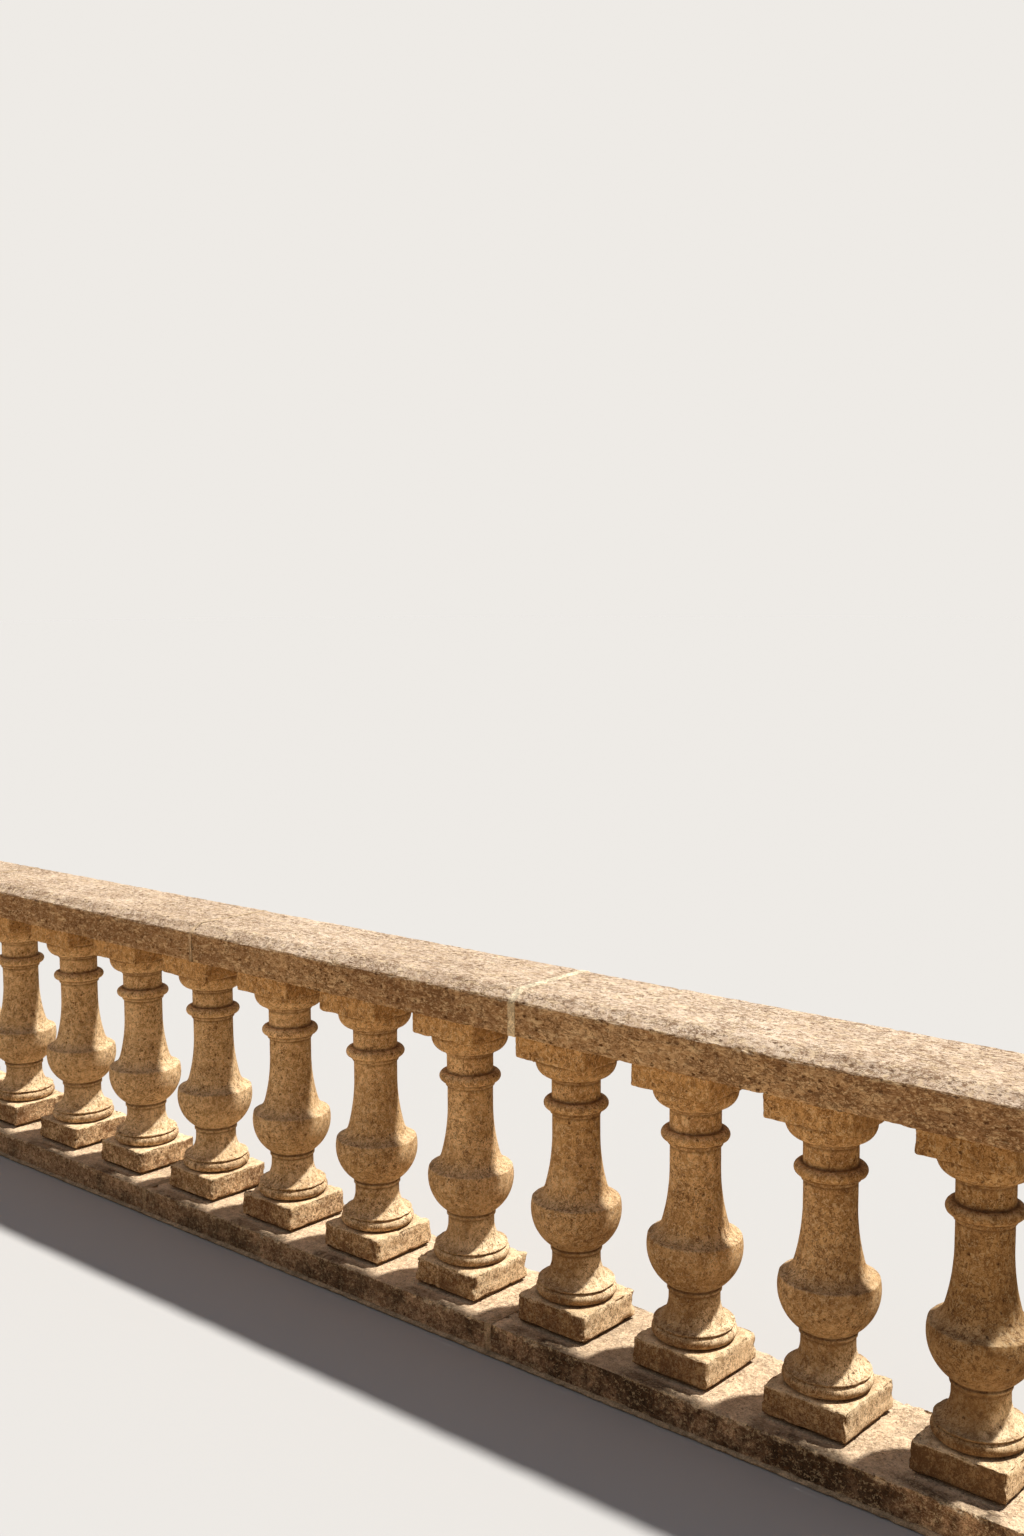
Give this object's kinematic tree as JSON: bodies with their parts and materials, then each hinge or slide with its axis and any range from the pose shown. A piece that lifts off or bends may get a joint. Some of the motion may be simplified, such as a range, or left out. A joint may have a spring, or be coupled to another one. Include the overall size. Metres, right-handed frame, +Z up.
{
  "type": "stone balustrade",
  "caption": "Terrace balustrade: turned baluster stones with square plinths and abaci on a low kerb of base stones, under a chamfered coping rail.",
  "frame": {"origin": "on the ground under the middle of the run, half way across it with the mortar strip at its foot", "axes": "+X along the row, +Y away from the terrace that the mortar strip faces, +Z up"},
  "size_m": [3.96, 0.312, 0.869],
  "materials": {
    "base_stone": "worn, stained limestone, rough on its upper edge",
    "baluster_stone": "turned limestone with fine tool lines, brown specks and pits",
    "rail_stone": "dressed limestone, pitted, bleached on top",
    "joint_mortar": "pale lime mortar",
    "bed_mortar": "dark, recessed lime mortar",
    "foot_mortar": "rough lime mortar, weathered"
  },
  "bodies": {
    "root": {"base_stone_1": "base_stone", "base_stone_2": "base_stone", "base_stone_3": "base_stone", "base_joint_1": "joint_mortar", "base_joint_2": "joint_mortar", "foot_strip_1": "foot_mortar", "foot_strip_2": "foot_mortar", "foot_strip_3": "foot_mortar", "plinth_beds_1": "bed_mortar", "plinth_beds_2": "bed_mortar", "plinth_beds_3": "bed_mortar", "baluster_01": "baluster_stone", "baluster_02": "baluster_stone", "baluster_03": "baluster_stone", "baluster_04": "baluster_stone", "baluster_05": "baluster_stone", "baluster_06": "baluster_stone", "baluster_07": "baluster_stone", "baluster_08": "baluster_stone", "baluster_09": "baluster_stone", "baluster_10": "baluster_stone", "baluster_11": "baluster_stone", "baluster_12": "baluster_stone", "abacus_beds_1": "bed_mortar", "abacus_beds_2": "bed_mortar", "abacus_beds_3": "bed_mortar", "rail_stone_1": "rail_stone", "rail_stone_2": "rail_stone", "rail_stone_3": "rail_stone", "rail_stone_4": "rail_stone", "rail_joint_1": "joint_mortar", "rail_joint_2": "joint_mortar", "rail_joint_3": "joint_mortar"}
  },
  "joints": []
}
